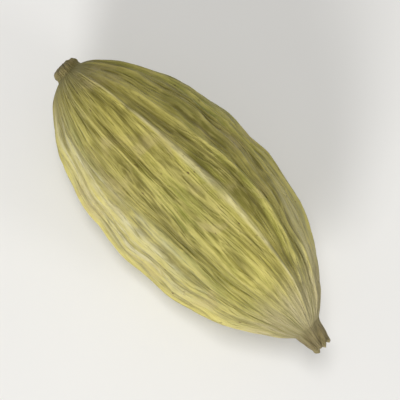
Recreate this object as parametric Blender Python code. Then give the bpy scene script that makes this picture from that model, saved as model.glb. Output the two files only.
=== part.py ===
"""One whole dried green cardamom pod, lying on one of its three flat sides.

The pod is a single closed solid: a three-sided husk with low ribs along it and a seam on each
corner, the broken stub of its stalk at -X and its short dried beak at +X. Metres, +Z up. The
origin is under the middle of the pod, on the surface that it lies on.
"""

import math
import random

import bmesh
import bpy
import numpy as np
from mathutils import Vector, noise

MM = 0.001
TAU = 2.0 * math.pi

# Driving sizes of the pod
POD_LENGTH = 17.2 * MM
HUSK_WIDTH = 7.4 * MM
HUSK_HEIGHT = 7.1 * MM
STALK_LENGTH = 0.6 * MM
STALK_RADIUS = 0.52 * MM
BEAK_LENGTH = 1.3 * MM
BEAK_RADIUS = 0.29 * MM

# Both stems widen towards the husk. A taper is where that starts and where the stem is thin, outward
# from the husk's end, in lengths of the stem.
STEM_ROOT_RADIUS = 0.95 * MM
STALK_TAPER = (-1.0, 0.6)
BEAK_TAPER = (-0.8, 1.0)
SHOULDER_BLEND = 1.0 * MM
END_ROUNDING = 0.16 * MM

# Outline of the husk along its length: a low power is a full round end, a high one a tapered end
BASE_POWER = 0.48
TIP_POWER = 0.58

# Section of the husk: three corners, one of them on top, with a nearly flat side below
CORNERS = 3
CORNER_SHARE = 0.078
FACE_HOLLOW = 0.16 * MM
HOLLOW_POWER = 3

# Lie of the whole pod, which is never quite straight
SIDE_BOW = 0.30 * MM
BEAK_LIFT = 0.35 * MM
BEAK_TURN = -0.30 * MM
BEAK_BEND_START = 5.0 * MM
TWIST = math.radians(6.0)

# Ribs raised from the husk. Each has a height of its own, which changes along the pod. The three on
# the corners carry the seams.
RIB_COUNT = 24
RIB_HEIGHT = 0.155 * MM
SEAM_HEIGHT = 0.21 * MM
WEAKEST_RIB = 0.4
RIB_CHANGE = 0.35
RIB_STAGGER = 0.38
RIB_SHARPNESS = 3.0
SEED = 11

# Ribs waver and crowd together: size in radians, waves round the pod and radians along its length
WAVER = (0.035, 5, 7.0)
CROWDING = (0.032, 11, -9.0)

# Swellings of the seeds under the husk, in two rows beside each corner, and dents from drying
SEED_PITCH = 2.7 * MM
SEED_STAGGER = 0.25
SEED_SWELL = 0.06 * MM
DENT_DEPTH = 0.15 * MM
DENT_SIZE = 4.4 * MM

# Pleats of the shrivelled beak, which twist about it and run unevenly. The twist is in radians per mm.
BEAK_PLEATS = 7
PLEAT_HEIGHT = 0.06 * MM
PLEAT_TWIST = 0.5
PLEAT_WANDER = 1.5
PLEAT_WANDER_SIZE = 2.5 * MM

# Each kind of relief fades in over this range of the husk's fullness, so it is gone at both ends
CORNER_REACH = (0.1, 0.7)
SEAM_REACH = (0.05, 0.7)
LONG_RIB_REACH = (0.05, 0.6)
SHORT_RIB_REACH = (0.35, 0.85)
SWELL_REACH = (0.3, 0.8)
DENT_REACH = (0.1, 0.6)

# The pleats fade in over this range of the way out along the beak
PLEAT_REACH = (-0.25, 0.45)

# Spot that it rests on, and the range of its zone over which the relief comes back
FLAT_DEPTH = 0.16 * MM
FLAT_ZONE_LENGTH = 4.2 * MM
FLAT_ZONE_ANGLE = math.radians(42.0)
FLAT_REACH = (0.6, 1.2)

# Mesh
COLUMNS_PER_RIB = 5
COLUMNS = RIB_COUNT * COLUMNS_PER_RIB
RINGS = 42
OUTLINE_SAMPLES = 4000
END_DENSITY = 2.2
END_ZONE = 1.3 * MM

# Dry husk, as linear colour
HUSK_COLOUR = (0.36, 0.33, 0.11, 1.0)
HUSK_ROUGHNESS = 0.55

BODY_START = -POD_LENGTH / 2 + STALK_LENGTH
BODY_END = POD_LENGTH / 2 - BEAK_LENGTH


def smooth_step(low, high, value):
    """0 at low, 1 at high, and an even S between them."""
    share = min(max((value - low) / (high - low), 0.0), 1.0)
    return share * share * (3.0 - 2.0 * share)


def smooth_max(first, second, blend):
    """The larger of two lengths, with the corner where they cross rounded over blend."""
    near = max(blend - abs(first - second), 0.0) / blend
    return max(first, second) + near * near * blend / 4.0


def body_place(x):
    """-1 where the husk begins at the stalk, 1 where it ends at the beak."""
    return (2.0 * x - BODY_START - BODY_END) / (BODY_END - BODY_START)


def fullness(x):
    """Share of its full thickness that the husk has at x."""
    place = body_place(x)
    if abs(place) >= 1.0:
        return 0.0
    power = BASE_POWER + (TIP_POWER - BASE_POWER) * (place + 1.0) / 2.0
    return (1.0 - place * place) ** power


def stem_radius(x):
    """Radius of the stalk stub in one half of the pod, and of the beak in the other half."""
    if x < 0.0:
        length, radius, taper, outward = STALK_LENGTH, STALK_RADIUS, STALK_TAPER, BODY_START - x
    else:
        length, radius, taper, outward = BEAK_LENGTH, BEAK_RADIUS, BEAK_TAPER, x - BODY_END
    away = smooth_step(*taper, outward / length)
    return STEM_ROOT_RADIUS + (radius - STEM_ROOT_RADIUS) * away


def end_share(x):
    """1 along the pod, falling to 0 at its two ends as they round off."""
    inside = min(max((POD_LENGTH / 2 - abs(x)) / END_ROUNDING, 0.0), 1.0)
    return math.sqrt(1.0 - (1.0 - inside) ** 2)


def outline(x, half_size):
    """Distance from the spine to the husk, the stub or the beak."""
    return smooth_max(half_size * fullness(x), stem_radius(x), SHOULDER_BLEND) * end_share(x)


def spine(x):
    """Sideways and upward shift of the pod's middle line."""
    bow = SIDE_BOW * max(1.0 - body_place(x) ** 2, 0.0)
    bend = smooth_step(BEAK_BEND_START, POD_LENGTH / 2, x) ** 2
    return bow + BEAK_TURN * bend, BEAK_LIFT * bend


def rib_strengths():
    """How far each rib stands out, as a share of the full height."""
    draw = random.Random(SEED)
    return [draw.uniform(WEAKEST_RIB, 1.0) for _ in range(RIB_COUNT)]


def rib_relief(x, column, strengths):
    """Height of the rib or seam at this column of the mesh. Every second rib stops short of both ends."""
    rib = round(column / COLUMNS_PER_RIB)
    across = column / COLUMNS_PER_RIB - rib
    crest = math.cos(math.pi * across) ** RIB_SHARPNESS
    if rib % (RIB_COUNT // CORNERS) == 0:
        return SEAM_HEIGHT * crest * smooth_step(*SEAM_REACH, fullness(x))
    change = 1.0 + RIB_CHANGE * math.sin(TAU * (x / POD_LENGTH + rib * RIB_STAGGER))
    reach = smooth_step(*(SHORT_RIB_REACH if rib % 2 else LONG_RIB_REACH), fullness(x))
    return RIB_HEIGHT * strengths[rib % RIB_COUNT] * change * crest * reach


def seed_swell(x, angle):
    """Low rows of bumps where the seeds press on the husk, on both sides of each corner."""
    row_side = math.copysign(SEED_STAGGER, math.sin(CORNERS * angle))
    beside_corner = 0.5 - 0.5 * math.cos(2 * CORNERS * angle)
    wave = math.cos(TAU * (x / SEED_PITCH + row_side))
    return SEED_SWELL * wave * beside_corner * smooth_step(*SWELL_REACH, fullness(x))


def unevenness(x, angle, size):
    """Smooth noise between about -1 and 1 over the pod, with bumps of this size."""
    place = Vector((x, math.sin(angle) * HUSK_WIDTH / 2, math.cos(angle) * HUSK_HEIGHT / 2))
    return noise.noise(place / size)


def dent(x, angle):
    """Shallow uneven rise and fall left by drying."""
    return DENT_DEPTH * unevenness(x, angle, DENT_SIZE) * smooth_step(*DENT_REACH, fullness(x))


def face_trough(x, angle):
    """The shallow trough along the middle of each side."""
    return FACE_HOLLOW * (0.5 - 0.5 * math.cos(CORNERS * angle)) ** HOLLOW_POWER * fullness(x)


def beak_pleats(x, angle):
    """Height of the pleats of the beak."""
    reach = smooth_step(*PLEAT_REACH, (x - BODY_END) / BEAK_LENGTH) * end_share(x)
    twisted = angle + PLEAT_TWIST * (x - BODY_END) / MM
    strayed = PLEAT_WANDER * unevenness(x, angle, PLEAT_WANDER_SIZE)
    return PLEAT_HEIGHT * math.cos(BEAK_PLEATS * twisted + strayed) * reach


def wander(x, angle):
    """Turn of the ribs about the spine: a slow twist of the whole pod, and waves of their own."""
    along = x / POD_LENGTH
    waves = sum(size * math.sin(turns * angle + slant * along) for size, turns, slant in (WAVER, CROWDING))
    return (TWIST * along + waves) * fullness(x)


def off_flat(x, angle):
    """0 on the spot that the pod rests on, 1 away from it."""
    around = math.remainder(angle - math.pi, TAU) / FLAT_ZONE_ANGLE
    return smooth_step(*FLAT_REACH, math.hypot(around, x / FLAT_ZONE_LENGTH))


def husk_point(x, column, strengths):
    """Point of the surface at x along the pod, on this column counted from the top corner."""
    angle = TAU * column / COLUMNS
    corner = 1.0 + CORNER_SHARE * math.cos(CORNERS * angle) * smooth_step(*CORNER_REACH, fullness(x))
    relief = rib_relief(x, column, strengths) + seed_swell(x, angle) + dent(x, angle) - face_trough(x, angle)
    relief = relief * off_flat(x, angle) + beak_pleats(x, angle)
    turned = angle + wander(x, angle)
    side, lift = spine(x)
    y = side + math.sin(turned) * (outline(x, HUSK_WIDTH / 2) * corner + relief)
    z = lift + math.cos(turned) * (outline(x, HUSK_HEIGHT / 2) * corner + relief)
    return Vector((x, y, z))


def ring_stations():
    """x of each ring, from the stalk's end to the beak's tip: even along the outline, closer at both ends."""
    places = -POD_LENGTH / 2 * np.cos(np.linspace(0.0, math.pi, OUTLINE_SAMPLES))
    radii = np.array([outline(x, HUSK_WIDTH / 2) for x in places])
    to_end = POD_LENGTH / 2 - np.abs(places[1:])
    steps = np.hypot(np.diff(places), np.diff(radii)) * (1.0 + END_DENSITY * np.exp(-to_end / END_ZONE))
    travelled = np.concatenate([[0.0], np.cumsum(steps)])
    return np.interp(np.linspace(0.0, travelled[-1], RINGS + 1), travelled, places)


def shape_sphere(mesh_edit):
    """Moves every point of a round sphere, whose poles lie on Z, to its place on the pod along X."""
    stations = ring_stations()
    strengths = rib_strengths()
    for vert in mesh_edit.verts:
        polar = math.acos(max(-1.0, min(1.0, vert.co.z)))
        ring = RINGS - round(polar / math.pi * RINGS)
        column = round((0.25 - math.atan2(vert.co.y, vert.co.x) / TAU) * COLUMNS) % COLUMNS
        vert.co = husk_point(float(stations[ring]), column, strengths)


def set_down(mesh_edit):
    """Flattens the lowest spot, and puts the origin on it under the middle of the pod."""
    floor = min(vert.co.z for vert in mesh_edit.verts) + FLAT_DEPTH
    for vert in mesh_edit.verts:
        vert.co.z = max(vert.co.z, floor)
    lowest = Vector(min(vert.co[i] for vert in mesh_edit.verts) for i in range(3))
    highest = Vector(max(vert.co[i] for vert in mesh_edit.verts) for i in range(3))
    middle = (lowest + highest) / 2
    bmesh.ops.translate(mesh_edit, verts=mesh_edit.verts, vec=(-middle.x, -middle.y, -floor))


def husk_material():
    """Plain dry husk, olive and slightly shiny."""
    material = bpy.data.materials.new("husk")
    material.use_nodes = True
    shader = material.node_tree.nodes["Principled BSDF"]
    shader.inputs["Base Color"].default_value = HUSK_COLOUR
    shader.inputs["Roughness"].default_value = HUSK_ROUGHNESS
    shader.inputs["Metallic"].default_value = 0.0
    return material


def make_pod():
    """The pod, made from a sphere whose poles become the stalk's end and the beak's tip."""
    mesh_edit = bmesh.new()
    bmesh.ops.create_uvsphere(mesh_edit, u_segments=COLUMNS, v_segments=RINGS, radius=1.0)
    shape_sphere(mesh_edit)
    set_down(mesh_edit)
    bmesh.ops.recalc_face_normals(mesh_edit, faces=mesh_edit.faces)
    mesh = bpy.data.meshes.new("cardamom_pod")
    mesh_edit.to_mesh(mesh)
    mesh_edit.free()
    mesh.shade_smooth()
    mesh.materials.append(husk_material())
    return bpy.data.objects.new("cardamom_pod", mesh)


def main():
    for old in list(bpy.data.objects):
        bpy.data.objects.remove(old, do_unlink=True)
    collection = bpy.data.collections.new("green_cardamom_pod")
    bpy.context.scene.collection.children.link(collection)
    collection.objects.link(make_pod())


main()
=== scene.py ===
"""The looks of one dried green cardamom pod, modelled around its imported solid.

The pod is built again from the same rules as its solid, with about twenty times the faces, so that
its ribs, veins, wrinkles, torn beak and broken stalk are real relief. Metres, +Z up, beak at +X.
Angles round the pod are counted from its top corner, and places round it in rib spacings.
"""

import math
import random

import bpy
import numpy as np
from mathutils import Matrix, Vector, noise


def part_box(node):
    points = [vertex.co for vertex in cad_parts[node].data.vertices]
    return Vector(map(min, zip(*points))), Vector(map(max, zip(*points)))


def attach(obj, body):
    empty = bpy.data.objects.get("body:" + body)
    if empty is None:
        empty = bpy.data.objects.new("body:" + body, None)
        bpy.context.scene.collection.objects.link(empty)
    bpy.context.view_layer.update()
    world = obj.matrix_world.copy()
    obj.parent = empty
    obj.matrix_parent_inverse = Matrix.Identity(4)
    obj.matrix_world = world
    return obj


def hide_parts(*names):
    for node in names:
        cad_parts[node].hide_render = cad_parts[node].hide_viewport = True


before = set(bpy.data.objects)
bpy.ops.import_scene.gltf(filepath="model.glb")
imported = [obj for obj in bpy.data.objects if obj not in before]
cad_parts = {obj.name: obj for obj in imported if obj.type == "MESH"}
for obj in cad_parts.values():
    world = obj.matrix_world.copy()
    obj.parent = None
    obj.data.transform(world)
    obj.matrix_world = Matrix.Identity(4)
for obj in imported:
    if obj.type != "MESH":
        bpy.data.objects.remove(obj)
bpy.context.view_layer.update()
NODE_LOW, NODE_HIGH = (Vector(corner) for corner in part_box("cardamom_pod"))

MM = 0.001
TAU = 2.0 * math.pi

# Main form, the same as the solid's
POD_LENGTH = NODE_HIGH.x - NODE_LOW.x
HUSK_WIDTH = 7.4 * MM
HUSK_HEIGHT = 7.1 * MM
STALK_LENGTH = 0.6 * MM
STALK_RADIUS = 0.52 * MM
BEAK_LENGTH = 1.3 * MM
BEAK_RADIUS = 0.29 * MM
STEM_ROOT_RADIUS = 0.95 * MM
STALK_TAPER = (-1.0, 0.6)
BEAK_TAPER = (-0.8, 1.0)
SHOULDER_BLEND = 1.0 * MM
END_ROUNDING = 0.16 * MM
BASE_POWER = 0.48
TIP_POWER = 0.58
CORNERS = 3
CORNER_SHARE = 0.078
FACE_HOLLOW = 0.16 * MM
HOLLOW_POWER = 3
SIDE_BOW = 0.30 * MM
BEAK_LIFT = 0.35 * MM
BEAK_TURN = -0.30 * MM
BEAK_BEND_START = 5.0 * MM
TWIST = math.radians(6.0)
RIB_COUNT = 24
WEAKEST_RIB = 0.4
RIB_CHANGE = 0.35
RIB_STAGGER = 0.38
SEED = 11
WAVER = (0.035, 5, 7.0)
CROWDING = (0.032, 11, -9.0)
SEED_PITCH = 2.7 * MM
SEED_STAGGER = 0.25
SEED_SWELL = 0.06 * MM
DENT_DEPTH = 0.15 * MM
DENT_SIZE = 4.4 * MM
CORNER_REACH = (0.1, 0.7)
SEAM_REACH = (0.05, 0.7)
LONG_RIB_REACH = (0.05, 0.6)
SHORT_RIB_REACH = (0.35, 0.85)
SWELL_REACH = (0.3, 0.8)
DENT_REACH = (0.1, 0.6)
FLAT_DEPTH = 0.16 * MM
FLAT_ZONE_LENGTH = 4.2 * MM
FLAT_ZONE_ANGLE = math.radians(42.0)
FLAT_REACH = (0.6, 1.2)

# Fine mesh
COLUMNS_PER_RIB = 24
COLUMNS = RIB_COUNT * COLUMNS_PER_RIB
RINGS = 165
OUTLINE_SAMPLES = 4000
END_DENSITY = 2.2
END_ZONE = 1.3 * MM

# Fine ribs, veins and fibres. The ribs are a little higher than the solid's, and each seam has a groove of
# its own. Widths round the pod are in rib spacings, or in mm where they say so. A pair named GAPS gives the
# two values of a noise between which a form fades in.
RIB_HEIGHT = 0.20 * MM
SEAM_HEIGHT = 0.23 * MM
RIB_HALF_WIDTH = 0.33
CREST_HALF_WIDTH = 0.10
CREST_SHARE = 0.58
PALE_HALF_WIDTH = 0.17
SEAM_HALF_WIDTH = 0.13
SEAM_GROOVE = 0.05 * MM
SEAM_GROOVE_HALF_WIDTH = 0.06
RIB_JITTER = 0.13
RIB_JITTER_LENGTH = 3.6 * MM
RIB_JITTER_WIDTH = 1.6 * MM
RIB_MERGE = 0.62
GROOVE_DEPTH = 0.080 * MM
GROOVE_PLACE = 0.38
GROOVE_HALF_WIDTH = 0.075
GROOVE_GAPS = (-0.35, 0.35)
GROOVE_GAP_LENGTH = 2.2 * MM
GROOVE_GAP_WIDTH = 0.9 * MM
VEIN_HEIGHT = 0.055 * MM
VEIN_HALF_WIDTH = 0.10
VEIN_GAPS = (-0.1, 0.35)
VEIN_GAP_LENGTH = 3.1 * MM
VEIN_GAP_WIDTH = 1.3 * MM
FIBRE_HEIGHT = 0.058 * MM
FIBRE_LENGTH = 2.4 * MM
FIBRE_WIDTH = 0.21 * MM
FINE_FIBRE_LENGTH = 0.6 * FIBRE_LENGTH
FINE_FIBRE_WIDTH = 0.5 * FIBRE_WIDTH
FINE_FIBRE_SHARE = 0.5
FIBRE_AT_ENDS = 0.3
NET_HEIGHT = 0.042 * MM
NET_LENGTH = 2.0 * MM
NET_WIDTH = 0.46 * MM
LONG_NET_LENGTH = 1.3 * NET_LENGTH
WIDE_NET_WIDTH = 1.2 * NET_WIDTH
NET_THREAD = 0.13
NET_REACH = (0.1, 0.5)

# Low wrinkles across the husk, mostly between the ribs
WRINKLE_HEIGHT = 0.060 * MM
WRINKLE_PITCH = 0.60 * MM
WRINKLE_WIDTH = 1.1 * MM
WRINKLE_BEND = 1.1
BEND_SIZE = 1.7 * MM
PATCH_SIZE = 2.6 * MM
WRINKLE_GAPS = (-0.35, 0.45)
WRINKLE_REACH = (0.1, 0.5)
WRINKLE_LOSS_ON_RIBS = 0.6
THINNEST = 0.05
CREASE_GAIN = 1.6

# Soft streaks along the husk. The pale ones at -82 and 52 degrees are painted highlight along the pod's two
# lit edges, and the deep ones at -45 and 38 degrees are painted shade in bands inside them; the green ones
# and the streaks underneath are changes of tone. Degrees from the top corner, mm along the pod from its
# middle, half width in degrees, half length in mm, and strength
HIGHLIGHT_AND_PALE_STREAKS = (
    (-82, -3.0, 27, 7.5, 0.75),
    (52, 5.2, 25, 4.4, 1.0),
    (163, 1.0, 12, 5.0, 0.7),
)
SHADE_AND_DEEP_STREAKS = (
    (-45, -1.8, 14, 5.0, 1.0),
    (38, -1.8, 14, 4.6, 1.0),
    (-150, -1, 12, 5, 0.7),
    (125, -2, 13, 4.5, 0.8),
)
GREEN_STREAKS = (
    (14, 2.6, 8, 3.2, 1.0),
    (-14, -1.0, 8, 2.6, 0.6),
    (88, 0.0, 10, 5.0, 0.8),
    (-118, 2.0, 10, 4.0, 0.8),
)
STREAK_REACH = (0.0, 0.6)

# Fullness of the husk where the tints of its seams and of its two ends begin, and where they are full. The
# ends' tints are their own tones and also painted shade at the stalk and painted light at the beak
SEAM_TINT_REACH = (0.0, 0.3)
BASE_TINT_REACH = (0.80, 0.30)
TIP_TINT_REACH = (0.90, 0.38)

# Broken stalk and torn beak
STALK_FIBRES = 13
STALK_FIBRE_HEIGHT = 0.030 * MM
STALK_FIBRE_WANDER = 2.0
STALK_REACH = (-0.3, 0.8)
STALK_BREAK = 0.16 * MM
STALK_COLLAR = 0.07 * MM
COLLAR_PLACE = 0.3 * MM
COLLAR_HALF_WIDTH = 0.12 * MM
STEM_NOISE_LENGTH = 0.8 * MM
STEM_NOISE_WIDTH = 0.9 * MM
RIM_LENGTH = 0.5 * MM
SPLINTER_WIDTH = 1.1 * MM
SPLINTER_SHIFT = 4.0
SPLINTER_CHANGE = 3.0
BEAK_PLEATS = 7
PLEAT_HEIGHT = 0.06 * MM
PLEAT_TWIST = 0.5
PLEAT_WANDER = 1.5
PLEAT_WANDER_SIZE = 2.5 * MM
PLEAT_REACH = (-0.25, 0.45)
BEAK_CREASE = 0.030 * MM
BEAK_TEAR = 0.34 * MM
BEAK_TEETH = 5
TEETH_SHARE = 0.6
BEAK_CUP = 0.45 * MM
CUP_REACH = (0.15, 0.75)

BODY_START = -POD_LENGTH / 2 + STALK_LENGTH
BODY_END = POD_LENGTH / 2 - BEAK_LENGTH


def smooth_step(low, high, value):
    """0 at low, 1 at high, and an even S between them."""
    share = np.clip((value - low) / (high - low), 0.0, 1.0)
    return share * share * (3.0 - 2.0 * share)


def smooth_max(first, second, blend):
    """The larger of two lengths, with the corner where they cross rounded over blend."""
    near = np.maximum(blend - np.abs(first - second), 0.0) / blend
    return np.maximum(first, second) + near * near * blend / 4.0


def body_place(x):
    """-1 where the husk begins at the stalk, 1 where it ends at the beak."""
    return (2.0 * x - BODY_START - BODY_END) / (BODY_END - BODY_START)


def fullness(x):
    """Share of its full thickness that the husk has at x."""
    place = np.clip(body_place(x), -1.0, 1.0)
    power = BASE_POWER + (TIP_POWER - BASE_POWER) * (place + 1.0) / 2.0
    return np.maximum(1.0 - place * place, 0.0) ** power


def stem_radius(x):
    """Radius of the stalk stub in one half of the pod, and of the beak in the other half."""
    stalk = smooth_step(*STALK_TAPER, (BODY_START - x) / STALK_LENGTH)
    beak = smooth_step(*BEAK_TAPER, (x - BODY_END) / BEAK_LENGTH)
    stalk_radius = STEM_ROOT_RADIUS + (STALK_RADIUS - STEM_ROOT_RADIUS) * stalk
    beak_radius = STEM_ROOT_RADIUS + (BEAK_RADIUS - STEM_ROOT_RADIUS) * beak
    return np.where(x < 0.0, stalk_radius, beak_radius)


def end_share(x):
    """1 along the pod, falling to 0 at its two ends as they round off."""
    inside = np.clip((POD_LENGTH / 2 - np.abs(x)) / END_ROUNDING, 0.0, 1.0)
    return np.sqrt(1.0 - (1.0 - inside) ** 2)


def outline(x, half_size):
    """Distance from the spine to the husk, the stub or the beak."""
    return smooth_max(half_size * fullness(x), stem_radius(x), SHOULDER_BLEND) * end_share(x)


def spine(x):
    """Sideways and upward shift of the pod's middle line."""
    bow = SIDE_BOW * np.maximum(1.0 - body_place(x) ** 2, 0.0)
    bend = smooth_step(BEAK_BEND_START, POD_LENGTH / 2, x) ** 2
    return bow + BEAK_TURN * bend, BEAK_LIFT * bend


def noise_at(x, y, z):
    """Smooth noise between about -1 and 1 at arrays of places, where one unit is one bump."""
    places = np.stack(np.broadcast_arrays(x, y, z), axis=-1).reshape(-1, 3)
    return np.array([noise.noise(place) for place in places.tolist()])


def ridge(offset, half_width):
    """Cross-section of a rounded ridge, 1 on its crest."""
    return np.exp(-((offset / half_width) ** 2))


def rib_section(offset):
    """Cross-section of a rib: a crisp crest on a wide rounded foot."""
    foot = ridge(offset, RIB_HALF_WIDTH)
    return foot + CREST_SHARE * (ridge(offset, CREST_HALF_WIDTH) - foot)


def draw_ribs():
    """(number, height share, lean at the ends) of each rib. Odd ones lean into a neighbour at both ends."""
    draw = random.Random(SEED)
    strengths = [draw.uniform(WEAKEST_RIB, 1.0) for _ in range(RIB_COUNT)]
    leans = [draw.choice((-RIB_MERGE, RIB_MERGE)) if rib % 2 else 0.0 for rib in range(RIB_COUNT)]
    return zip(range(RIB_COUNT), strengths, leans)


class Husk:
    """Every point's place on the pod, and the relief that it gets there."""

    def __init__(self, x, column):
        self.x = x
        self.angle = TAU * column / COLUMNS
        self.full = fullness(x)
        self.round_y = np.sin(self.angle) * HUSK_WIDTH / 2
        self.round_z = np.cos(self.angle) * HUSK_HEIGHT / 2
        self.place = column / COLUMNS_PER_RIB + RIB_JITTER * self.noise(RIB_JITTER_LENGTH, RIB_JITTER_WIDTH)
        self.stalk = smooth_step(*STALK_REACH, (BODY_START - x) / STALK_LENGTH)
        self.beak = smooth_step(*PLEAT_REACH, (x - BODY_END) / BEAK_LENGTH)

    def noise(self, length, width, shift=0.0):
        """Noise with bumps length long along the pod and width wide round it. Each shift is another noise."""
        return noise_at(self.x / length + shift, self.round_y / width, self.round_z / width + shift)

    def ribs(self):
        """Height of the ribs and seams less the grooves. Keeps the share of each for the colours, which paint
        shade between the ribs and in the grooves.
        """
        height = np.zeros_like(self.x)
        self.crest = np.zeros_like(self.x)
        self.rib = np.zeros_like(self.x)
        self.seam = np.zeros_like(self.x)
        self.groove = np.zeros_like(self.x)
        for rib, strength, lean in draw_ribs():
            apart = (self.place - rib + RIB_COUNT / 2) % RIB_COUNT - RIB_COUNT / 2
            if rib % (RIB_COUNT // CORNERS) == 0:
                shape = rib_section(apart)
                reach = smooth_step(*SEAM_REACH, self.full)
                self.seam = np.maximum(self.seam, ridge(apart, SEAM_HALF_WIDTH))
                groove = SEAM_GROOVE * ridge(apart, SEAM_GROOVE_HALF_WIDTH)
                height = np.maximum(height, (SEAM_HEIGHT * shape - groove) * reach)
                self.rib = np.maximum(self.rib, ridge(apart, RIB_HALF_WIDTH) * reach)
                continue
            merging = lean * (1.0 - smooth_step(*SHORT_RIB_REACH, self.full))
            change = 1.0 + RIB_CHANGE * np.sin(TAU * (self.x / POD_LENGTH + rib * RIB_STAGGER))
            reach = smooth_step(*(SHORT_RIB_REACH if rib % 2 else LONG_RIB_REACH), self.full)
            height = np.maximum(height, RIB_HEIGHT * strength * change * rib_section(apart - merging) * reach)
            self.crest = np.maximum(self.crest, strength * ridge(apart - merging, PALE_HALF_WIDTH) * reach)
            self.rib = np.maximum(self.rib, ridge(apart - merging, RIB_HALF_WIDTH) * reach)
            groove = ridge(np.abs(apart - merging) - GROOVE_PLACE, GROOVE_HALF_WIDTH)
            self.groove = np.maximum(self.groove, strength * change * groove * reach)
        self.groove *= smooth_step(*GROOVE_GAPS, self.noise(GROOVE_GAP_LENGTH, GROOVE_GAP_WIDTH, shift=21.0))
        return height - GROOVE_DEPTH * self.groove

    def veins(self):
        """Fine veins midway between the ribs, which come and go."""
        apart = self.place % 1.0 - 0.5
        there = smooth_step(*VEIN_GAPS, self.noise(VEIN_GAP_LENGTH, VEIN_GAP_WIDTH, shift=5.0))
        self.vein = ridge(apart, VEIN_HALF_WIDTH) * there * smooth_step(*SWELL_REACH, self.full)
        return VEIN_HEIGHT * self.vein

    def fibres(self):
        """Fine fibres along the husk, lower at its ends."""
        coarse = self.noise(FIBRE_LENGTH, FIBRE_WIDTH, shift=9.0)
        fine = self.noise(FINE_FIBRE_LENGTH, FINE_FIBRE_WIDTH, shift=2.0)
        self.fibre = coarse + FINE_FIBRE_SHARE * fine
        return FIBRE_HEIGHT * self.fibre * (FIBRE_AT_ENDS + (1.0 - FIBRE_AT_ENDS) * self.full)

    def net(self):
        """Thin raised threads that part and join again along the husk."""
        first = ridge(self.noise(NET_LENGTH, NET_WIDTH, shift=13.0), NET_THREAD)
        second = ridge(self.noise(LONG_NET_LENGTH, WIDE_NET_WIDTH, shift=17.0), NET_THREAD)
        self.thread = np.maximum(first, second) * smooth_step(*NET_REACH, self.full)
        return NET_HEIGHT * self.thread

    def swell(self):
        """Low rows of bumps where the seeds press on the husk, on both sides of each corner."""
        row_side = np.copysign(SEED_STAGGER, np.sin(CORNERS * self.angle))
        beside_corner = 0.5 - 0.5 * np.cos(2 * CORNERS * self.angle)
        wave = np.cos(TAU * (self.x / SEED_PITCH + row_side))
        return SEED_SWELL * wave * beside_corner * smooth_step(*SWELL_REACH, self.full)

    def dent(self):
        """Shallow uneven rise and fall left by drying."""
        return DENT_DEPTH * self.noise(DENT_SIZE, DENT_SIZE) * smooth_step(*DENT_REACH, self.full)

    def trough(self):
        """The shallow trough along the middle of each side."""
        return FACE_HOLLOW * (0.5 - 0.5 * np.cos(CORNERS * self.angle)) ** HOLLOW_POWER * self.full

    def wrinkles(self):
        """Fine wrinkles across the husk, weaker on the ribs, with creases as their deepest parts, which the
        colours darken as painted shade.
        """
        bend = WRINKLE_BEND * self.noise(BEND_SIZE, BEND_SIZE)
        width = WRINKLE_WIDTH / np.maximum(self.full, THINNEST)
        wave = noise_at(self.x / WRINKLE_PITCH + bend, self.round_y / width, self.round_z / width)
        patch = smooth_step(*WRINKLE_GAPS, self.noise(PATCH_SIZE, PATCH_SIZE, shift=7.0))
        share = patch * (1.0 - WRINKLE_LOSS_ON_RIBS * self.crest) * smooth_step(*WRINKLE_REACH, self.full)
        self.crease = np.clip(-CREASE_GAIN * wave, 0.0, 1.0) * share
        return WRINKLE_HEIGHT * wave * share

    def stems(self):
        """Fibres on the stalk stub and its collar, and pleats on the beak."""
        uneven = self.noise(STEM_NOISE_LENGTH, STEM_NOISE_WIDTH, shift=3.0)
        fibres = STALK_FIBRE_HEIGHT * np.cos(STALK_FIBRES * self.angle + STALK_FIBRE_WANDER * uneven)
        collar = STALK_COLLAR * ridge(self.x + POD_LENGTH / 2 - COLLAR_PLACE, COLLAR_HALF_WIDTH)
        twisted = self.angle + PLEAT_TWIST * (self.x - BODY_END) / MM
        strayed = PLEAT_WANDER * self.noise(PLEAT_WANDER_SIZE, PLEAT_WANDER_SIZE)
        pleats = PLEAT_HEIGHT * np.cos(BEAK_PLEATS * twisted + strayed) + BEAK_CREASE * uneven
        return ((fibres + collar) * self.stalk + pleats * self.beak) * end_share(self.x)

    def ends(self):
        """Shift along the pod, inward at both ends: the stalk's ragged break, and the beak's torn cup."""
        inward = 1.0 - end_share(self.x)
        to_rim = (np.abs(self.x) - POD_LENGTH / 2 + RIM_LENGTH) / RIM_LENGTH
        rim = end_share(self.x) * smooth_step(0.0, 1.0, to_rim)
        layer = SPLINTER_SHIFT + SPLINTER_CHANGE * inward
        splinters = 0.5 + 0.5 * noise_at(self.round_y / SPLINTER_WIDTH, self.round_z / SPLINTER_WIDTH, layer)
        teeth = np.abs(np.sin(BEAK_TEETH / 2 * self.angle)) * TEETH_SHARE + (1.0 - TEETH_SHARE) * splinters
        cup = smooth_step(*CUP_REACH, inward)
        stalk = np.where(self.x < 0, STALK_BREAK * splinters * (rim + inward), 0.0)
        beak = np.where(self.x > 0, -(BEAK_TEAR * teeth * rim * (1.0 - cup) + BEAK_CUP * cup), 0.0)
        return stalk + beak

    def streaks(self, marks):
        """How strongly soft streaks show at each point: painted highlight and painted shade for the pale and
        deep ones on the upper sides, changes of tone for the rest.
        """
        share = np.zeros_like(self.x)
        for degrees, along, wide, long, strength in marks:
            apart = (np.degrees(self.angle) - degrees + 180.0) % 360.0 - 180.0
            outward = (apart / wide) ** 2 + ((self.x / MM - along) / long) ** 2
            share = np.maximum(share, strength * ridge(outward, 1.0))
        return share * smooth_step(*STREAK_REACH, self.full)

    def off_flat(self):
        """0 on the spot that the pod rests on, 1 away from it."""
        around = ((self.angle % TAU) - math.pi) / FLAT_ZONE_ANGLE
        return smooth_step(*FLAT_REACH, np.hypot(around, self.x / FLAT_ZONE_LENGTH))

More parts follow.
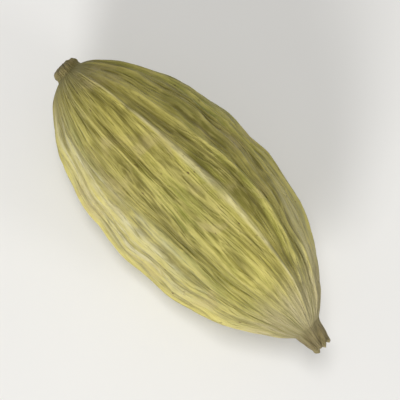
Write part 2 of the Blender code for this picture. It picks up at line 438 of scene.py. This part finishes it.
    def places(self):
        """The finished surface, not yet cut flat below. Keeps the level of that cut."""
        relief = self.ribs() + self.veins() + self.swell() + self.dent() - self.trough()
        relief = relief * self.off_flat() + self.fibres() + self.net() + self.wrinkles() + self.stems()
        reach = smooth_step(*CORNER_REACH, self.full)
        corner = 1.0 + CORNER_SHARE * np.cos(CORNERS * self.angle) * reach
        along = self.x / POD_LENGTH
        waves = 0
        for size, turns, slant in (WAVER, CROWDING):
            waves = waves + size * np.sin(turns * self.angle + slant * along)
        turned = self.angle + (TWIST * along + waves) * self.full
        side, lift = spine(self.x)
        wide = outline(self.x, HUSK_WIDTH / 2) * corner
        tall = outline(self.x, HUSK_HEIGHT / 2) * corner
        self.flat_level = (lift + np.cos(turned) * tall).min() + FLAT_DEPTH
        y = side + np.sin(turned) * (wide + relief)
        z = lift + np.cos(turned) * (tall + relief)
        return np.stack([self.x + self.ends(), y, z], axis=-1)


def ring_stations():
    """x of each ring, from the stalk's end to the beak's tip: even along the outline, closer at both ends."""
    places = -POD_LENGTH / 2 * np.cos(np.linspace(0.0, math.pi, OUTLINE_SAMPLES))
    radii = outline(places, HUSK_WIDTH / 2)
    to_end = POD_LENGTH / 2 - np.abs(places[1:])
    steps = np.hypot(np.diff(places), np.diff(radii)) * (1.0 + END_DENSITY * np.exp(-to_end / END_ZONE))
    travelled = np.concatenate([[0.0], np.cumsum(steps)])
    return np.interp(np.linspace(0.0, travelled[-1], RINGS + 1), travelled, places)


def pod_faces():
    """Quads between neighbouring rings, and a fan of triangles round the first and the last point."""
    count = (RINGS - 1) * COLUMNS
    faces = [(0, 1 + column, 1 + (column + 1) % COLUMNS) for column in range(COLUMNS)]
    for start in range(1, count - COLUMNS + 1, COLUMNS):
        for column in range(COLUMNS):
            after = (column + 1) % COLUMNS
            faces.append((start + column, start + column + COLUMNS, start + after + COLUMNS, start + after))
    last = count + 1 - COLUMNS
    faces += [(last + column, count + 1, last + (column + 1) % COLUMNS) for column in range(COLUMNS)]
    return faces


def make_pod():
    """The husk as one closed mesh, cut flat below, with values on its points for its colours to follow."""
    stations = ring_stations()
    x = np.concatenate([stations[:1], np.repeat(stations[1:-1], COLUMNS), stations[-1:]])
    column = np.concatenate([[0], np.tile(np.arange(COLUMNS), RINGS - 1), [0]]).astype(float)
    husk = Husk(x, column)
    places = husk.places()
    places[:, 2] = np.maximum(places[:, 2] - husk.flat_level, 0.0)
    places[:, 1] += (NODE_LOW.y + NODE_HIGH.y - places[:, 1].min() - places[:, 1].max()) / 2
    mesh = bpy.data.meshes.new("pod_husk")
    mesh.from_pydata(places.tolist(), [], pod_faces())
    values = {
        "crest": husk.crest,
        "rib": husk.rib,
        "corner": 0.5 + 0.5 * np.cos(CORNERS * husk.angle),
        # The pale and deep streaks: painted highlight and painted shade, with some change of tone
        "shade_and_deep": husk.streaks(SHADE_AND_DEEP_STREAKS),
        "highlight_and_pale": husk.streaks(HIGHLIGHT_AND_PALE_STREAKS),
        "green": husk.streaks(GREEN_STREAKS),
        "seam": husk.seam * smooth_step(*SEAM_TINT_REACH, husk.full),
        "torn": 1.0 - end_share(x),
        "vein": husk.vein,
        "groove": husk.groove,
        "crease": husk.crease,
        "fibre": husk.fibre,
        "thread": husk.thread,
        "stem": np.maximum(husk.stalk, husk.beak),
        # The ends' tints: their own tones, also painted shade at the stalk end and painted light at the beak
        # end
        "base": smooth_step(*BASE_TINT_REACH, husk.full) * (x < 0.0),
        "tip": smooth_step(*TIP_TINT_REACH, husk.full) * (x > 0.0),
    }
    for name, held in values.items():
        layer = mesh.attributes.new(name, "FLOAT", "POINT")
        layer.data.foreach_set("value", held.astype(np.float32))
    grain = np.stack([husk.round_y, husk.round_z, husk.x], axis=-1)
    layer = mesh.attributes.new("grain", "FLOAT_VECTOR", "POINT")
    layer.data.foreach_set("vector", (grain / MM).astype(np.float32).ravel())
    mesh.shade_smooth()
    pod = bpy.data.objects.new("pod_husk", mesh)
    bpy.context.scene.collection.objects.link(pod)
    return pod


# Colours of the dry husk and of the paper below it, linear. CREAM is also the painted highlight of the pale
# streaks, and DEEP the painted shade of the deep streaks and of the valleys, creases and grooves
GREEN = (0.235, 0.240, 0.030, 1.0)
YELLOW = (0.405, 0.352, 0.072, 1.0)
PALE = (0.575, 0.505, 0.145, 1.0)
CREAM = (0.730, 0.665, 0.450, 1.0)
DEEP = (0.142, 0.120, 0.014, 1.0)
OLIVE = (0.240, 0.200, 0.060, 1.0)
STRAW = (0.460, 0.400, 0.205, 1.0)
SCUFF = (0.440, 0.365, 0.150, 1.0)
TAN = (0.420, 0.330, 0.150, 1.0)
BROWN = (0.100, 0.052, 0.020, 1.0)
PAPER = ((0.82, 0.815, 0.80, 1.0), (0.86, 0.855, 0.84, 1.0))

# Noise that takes no notice of the fibres: bumps a metre, detail, and roughness and distortion where given
PATCHES = (210.0, 3.0)
BREAKS = (900.0, 2.0)
SCUFFS = (520.0, 4.0, 0.6, 0.6)
SPECK_PATCHES = (330.0, 2.0)
SKIN = (7000.0, 3.0, 0.6)
PAPER_CLOUDS = (60.0, 4.0)

# Noise drawn out along the fibres: bumps a mm across them both ways and along them, detail, and roughness
FIBRES = ((3.4, 3.4, 0.35), 4.0, 0.6)
HAIRS = ((10.0, 10.0, 0.8), 3.0, 0.6)
WINDING_LINES = ((2.5, 2.5, 0.30), 2.0, 0.5)
STREAK_CHANGE = ((0.30, 0.30, 0.22), 2.0, 0.55)
STAINS = ((2.6, 2.6, 0.9), 3.0, 0.6)
SPECKS = ((7.5, 7.5, 3.0), 2.0, 0.55)

# How values become shares: where the change begins and ends, and the share at both where it isn't 0 and 1.
# The last gives the roughness itself.
SPANS = {
    "ripeness": (0.60, 1.02),
    "streak change": (0.35, 0.60, 0.8, 1.0),
    "breaks": (0.3, 0.7, 0.4, 1.0),
    "valley": (0.60, 0.10),
    "valley patches": (0.35, 0.65, 0.75, 0.45),
    "crease": (0.1, 0.9, 0.0, 0.45),
    "groove": (0.2, 0.9, 0.0, 0.55),
    "high fibre": (0.0, 0.6, 0.0, 0.35),
    "low fibre": (0.0, -0.6, 0.0, 0.45),
    "thread": (0.3, 1.0, 0.0, 0.35),
    "winding line": (0.045, 0.008),
    "low hair": (0.52, 0.30, 0.0, 0.45),
    "high hair": (0.50, 0.70, 0.0, 0.50),
    "crest": (0.25, 0.85, 0.0, 0.85),
    "vein": (0.3, 1.0, 0.0, 0.5),
    "seam": (0.3, 0.9, 0.0, 0.38),
    "base": (0.0, 1.0, 0.0, 0.6),
    "base fibres": (0.35, 0.65, 0.9, 0.4),
    "tip": (0.0, 1.0, 0.0, 0.95),
    "tip fibres": (0.35, 0.65, 0.5, 1.0),
    "scuffs": (0.54, 0.68, 0.0, 0.50),
    "stem fibres": (0.35, 0.65, 0.3, 0.75),
    "stains": (0.42, 0.66, 0.0, 0.4),
    "torn": (0.4, 1.0, 0.0, 0.7),
    "specks": (0.68, 0.74),
    "speck patches": (0.44, 0.60, 0.0, 0.85),
    "roughness": (0.3, 0.7, 0.66, 0.50),
}

# Shares of single layers of colour, and depths of the finest relief
CORNER_RIPENESS = 0.22
FIBRE_RIPENESS = 0.45
# The green streaks change the tone, the pale ones paint highlight in CREAM and the deep ones paint shade in
# DEEP
STREAK_TINTS = (("green", GREEN, 0.45), ("highlight_and_pale", CREAM, 0.90), ("shade_and_deep", DEEP, 0.95))
LINE_TINT = 0.5
LINE_BUMP = 0.22
HAIR_BUMP = 0.13 * MM
SKIN_BUMP = 0.02 * MM
HUSK_FINISH = {
    "Specular IOR Level": 0.35,
    "Sheen Weight": 0.10,
    "Sheen Roughness": 0.4,
    "Sheen Tint": (1.0, 0.95, 0.78, 1.0),
}
PAPER_ROUGHNESS = 0.9


class Nodes:
    """Short ways to add shader nodes to one material."""

    def __init__(self, name):
        self.material = bpy.data.materials.new(name)
        self.material.use_nodes = True
        self.tree = self.material.node_tree
        self.shader = self.tree.nodes["Principled BSDF"]

    def put(self, value, socket):
        """Links a socket, or sets a plain value."""
        if isinstance(value, bpy.types.NodeSocket):
            self.tree.links.new(value, socket)
        else:
            socket.default_value = value

    def attribute(self, name, output="Fac"):
        node = self.tree.nodes.new("ShaderNodeAttribute")
        node.attribute_name = name
        return node.outputs[output]

    def object_place(self):
        return self.tree.nodes.new("ShaderNodeTexCoord").outputs["Object"]

    def noise(self, vector, scale, detail, roughness=0.55, distortion=0.0):
        node = self.tree.nodes.new("ShaderNodeTexNoise")
        self.put(vector, node.inputs["Vector"])
        node.inputs["Scale"].default_value = scale
        node.inputs["Detail"].default_value = detail
        node.inputs["Roughness"].default_value = roughness
        node.inputs["Distortion"].default_value = distortion
        return node.outputs["Fac"]

    def drawn_out(self, vector, scales, detail, roughness):
        """Noise with a scale of its own on each axis."""
        node = self.tree.nodes.new("ShaderNodeMapping")
        self.put(vector, node.inputs["Vector"])
        node.inputs["Scale"].default_value = scales
        return self.noise(node.outputs["Vector"], 1.0, detail, roughness)

    def span(self, value, low, high, to_low=0.0, to_high=1.0):
        """Smoothly maps low to high onto to_low to to_high."""
        node = self.tree.nodes.new("ShaderNodeMapRange")
        node.interpolation_type = "SMOOTHSTEP"
        ends = {"Value": value, "From Min": low, "From Max": high, "To Min": to_low, "To Max": to_high}
        for name, given in ends.items():
            self.put(given, node.inputs[name])
        return node.outputs["Result"]

    def form(self, name):
        """The share of a form that the mesh keeps under this name."""
        return self.span(self.attribute(name), *SPANS[name])

    def math(self, operation, first, second=0.0):
        node = self.tree.nodes.new("ShaderNodeMath")
        node.operation = operation
        self.put(first, node.inputs[0])
        self.put(second, node.inputs[1])
        return node.outputs[0]

    def mix(self, share, first, second):
        """Mixes two colours. The node keeps them in sockets 6 and 7, and what they make in output 2."""
        node = self.tree.nodes.new("ShaderNodeMix")
        node.data_type = "RGBA"
        self.put(share, node.inputs[0])
        self.put(first, node.inputs[6])
        self.put(second, node.inputs[7])
        return node.outputs[2]

    def tint(self, colour, tint, *shares):
        """Mixes a tint into a colour by the product of its shares."""
        share = shares[0]
        for factor in shares[1:]:
            share = self.math("MULTIPLY", share, factor)
        return self.mix(share, colour, tint)

    def bump(self, height, distance, normal=None):
        node = self.tree.nodes.new("ShaderNodeBump")
        node.inputs["Distance"].default_value = distance
        self.put(height, node.inputs["Height"])
        if normal is not None:
            self.put(normal, node.inputs["Normal"])
        return node.outputs["Normal"]


def husk_material():
    """Dry husk: green to yellow, pale on ribs and seams, with painted shade between the ribs, in creases and
    in grooves, painted highlight and painted shade in soft streaks, olive at the stalk and straw at the beak,
    which also paint shade and light along the pod, with scuffs, stains and specks."""
    n = Nodes("husk")
    place = n.object_place()
    grain = n.attribute("grain", "Vector")
    patches = n.noise(place, *PATCHES)
    fibres = n.drawn_out(grain, *FIBRES)
    strand = n.attribute("fibre")
    hairs = n.drawn_out(grain, *HAIRS)
    breaks = n.span(n.noise(place, *BREAKS), *SPANS["breaks"])
    from_line = n.math("ABSOLUTE", n.math("SUBTRACT", n.drawn_out(grain, *WINDING_LINES), 0.5))
    lines = n.span(from_line, *SPANS["winding line"])

    corner = n.math("MULTIPLY", n.attribute("corner"), CORNER_RIPENESS)
    ripeness = n.math("ADD", n.math("ADD", patches, corner), n.math("MULTIPLY", fibres, FIBRE_RIPENESS))
    colour = n.mix(n.span(ripeness, *SPANS["ripeness"]), GREEN, YELLOW)
    change = n.span(n.drawn_out(grain, *STREAK_CHANGE), *SPANS["streak change"])
    # Soft streaks: green changes of tone, painted highlight and painted shade
    for name, tint, share in STREAK_TINTS:
        colour = n.tint(colour, tint, n.attribute(name), change, share)

    # Painted shade: DEEP mixed in between the ribs in patches, in the wrinkles' creases and in the grooves
    # beside the ribs
    valley = n.span(n.attribute("rib"), *SPANS["valley"])
    colour = n.tint(colour, DEEP, valley, n.span(patches, *SPANS["valley patches"]))
    for name in ("crease", "groove"):
        colour = n.tint(colour, DEEP, n.form(name))
    colour = n.tint(colour, PALE, n.span(strand, *SPANS["high fibre"]))
    colour = n.tint(colour, PALE, n.form("thread"), breaks)
    colour = n.tint(colour, PALE, lines, breaks, LINE_TINT)
    colour = n.tint(colour, DEEP, n.span(strand, *SPANS["low fibre"]))
    colour = n.tint(colour, DEEP, n.span(hairs, *SPANS["low hair"]))
    colour = n.tint(colour, PALE, n.span(hairs, *SPANS["high hair"]))
    for name, tint in (("crest", PALE), ("vein", PALE), ("seam", CREAM)):
        colour = n.tint(colour, tint, n.form(name), breaks)

    # Olive at the stalk and straw at the beak: the ends' own tones, also painted shade at the stalk end and
    # painted light at the beak end
    colour = n.tint(colour, OLIVE, n.form("base"), n.span(fibres, *SPANS["base fibres"]))
    colour = n.tint(colour, STRAW, n.form("tip"), n.span(fibres, *SPANS["tip fibres"]))
    colour = n.tint(colour, SCUFF, n.span(n.noise(place, *SCUFFS), *SPANS["scuffs"]))
    stem = n.attribute("stem")
    colour = n.tint(colour, TAN, stem, n.span(fibres, *SPANS["stem fibres"]))
    colour = n.tint(colour, BROWN, stem, n.span(n.drawn_out(grain, *STAINS), *SPANS["stains"]))
    colour = n.tint(colour, BROWN, n.form("torn"))
    specks = n.span(n.drawn_out(grain, *SPECKS), *SPANS["specks"])
    where = n.span(n.noise(place, *SPECK_PATCHES), *SPANS["speck patches"])
    colour = n.tint(colour, BROWN, specks, where)
    n.put(colour, n.shader.inputs["Base Color"])

    normal = n.bump(n.math("ADD", hairs, n.math("MULTIPLY", lines, LINE_BUMP)), HAIR_BUMP)
    n.put(n.bump(n.noise(place, *SKIN), SKIN_BUMP, normal), n.shader.inputs["Normal"])
    n.put(n.span(fibres, *SPANS["roughness"]), n.shader.inputs["Roughness"])
    for name, value in HUSK_FINISH.items():
        n.put(value, n.shader.inputs[name])
    return n.material


def floor_material():
    """Matt off-white paper."""
    n = Nodes("paper")
    clouds = n.noise(n.object_place(), *PAPER_CLOUDS)
    n.put(n.mix(clouds, *PAPER), n.shader.inputs["Base Color"])
    n.put(PAPER_ROUGHNESS, n.shader.inputs["Roughness"])
    return n.material


# Floor: half of its side, and how far it lies below the pod
FLOOR_REACH = 3.0
FLOOR_DROP = 0.01 * MM


def make_floor():
    """The plain surface that the pod lies on, a hair below it."""
    mesh = bpy.data.meshes.new("floor")
    signs = ((-1, -1), (1, -1), (1, 1), (-1, 1))
    mesh.from_pydata([(x * FLOOR_REACH, y * FLOOR_REACH, 0) for x, y in signs], [], [(0, 1, 2, 3)])
    mesh.materials.append(floor_material())
    floor = bpy.data.objects.new("floor", mesh)
    floor.location.z = -FLOOR_DROP
    bpy.context.scene.collection.objects.link(floor)


# Camera: it looks down steeply, square on to the pod's length, with the beak at lower right
ELEVATION = math.radians(76.0)
ROLL = math.radians(46.5)
LENS = 120
NEAREST = 1.0 * MM
FRAME_SIDE = 17.6 * MM
MIDDLE = (NODE_LOW + NODE_HIGH) / 2

# Lamps: name, direction from the pod, distance and side in metres, power in watts
LAMPS = (
    ("key", (0.45, -1.0, 0.42), 0.30, 0.10, 0.71),
    ("top", (-0.25, -0.10, 1.0), 0.35, 0.12, 0.49),
    ("rim", (1.0, 0.35, 0.22), 0.25, 0.06, 0.18),
)
SKY_COLOUR = (1.0, 0.98, 0.94, 1.0)
SKY_STRENGTH = 0.29


def make_camera():
    back = Vector((0.0, -math.cos(ELEVATION), math.sin(ELEVATION)))
    data = bpy.data.cameras.new("camera")
    data.lens = LENS
    data.clip_start = NEAREST
    camera = bpy.data.objects.new("camera", data)
    bpy.context.scene.collection.objects.link(camera)
    camera.rotation_mode = "QUATERNION"
    roll = Matrix.Rotation(ROLL, 4, "Z").to_quaternion()
    camera.rotation_quaternion = (-back).to_track_quat("-Z", "Y") @ roll
    camera.location = MIDDLE + back * (FRAME_SIDE * LENS / data.sensor_width)
    bpy.context.scene.camera = camera


def make_lamp(name, towards, distance, side, power):
    """A soft square lamp at distance from the pod, facing it."""
    data = bpy.data.lights.new(name, "AREA")
    data.size = side
    data.energy = power
    lamp = bpy.data.objects.new(name, data)
    bpy.context.scene.collection.objects.link(lamp)
    towards = Vector(towards).normalized()
    lamp.location = MIDDLE + towards * distance
    lamp.rotation_mode = "QUATERNION"
    lamp.rotation_quaternion = (-towards).to_track_quat("-Z", "Y")


def make_light():
    world = bpy.data.worlds.new("studio")
    world.use_nodes = True
    background = world.node_tree.nodes["Background"]
    background.inputs["Color"].default_value = SKY_COLOUR
    background.inputs["Strength"].default_value = SKY_STRENGTH
    bpy.context.scene.world = world
    for lamp in LAMPS:
        make_lamp(*lamp)
    bpy.context.scene.view_settings.view_transform = "Standard"


pod = make_pod()
pod.data.materials.append(husk_material())
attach(pod, "root")
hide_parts("cardamom_pod")
make_floor()
make_camera()
make_light()
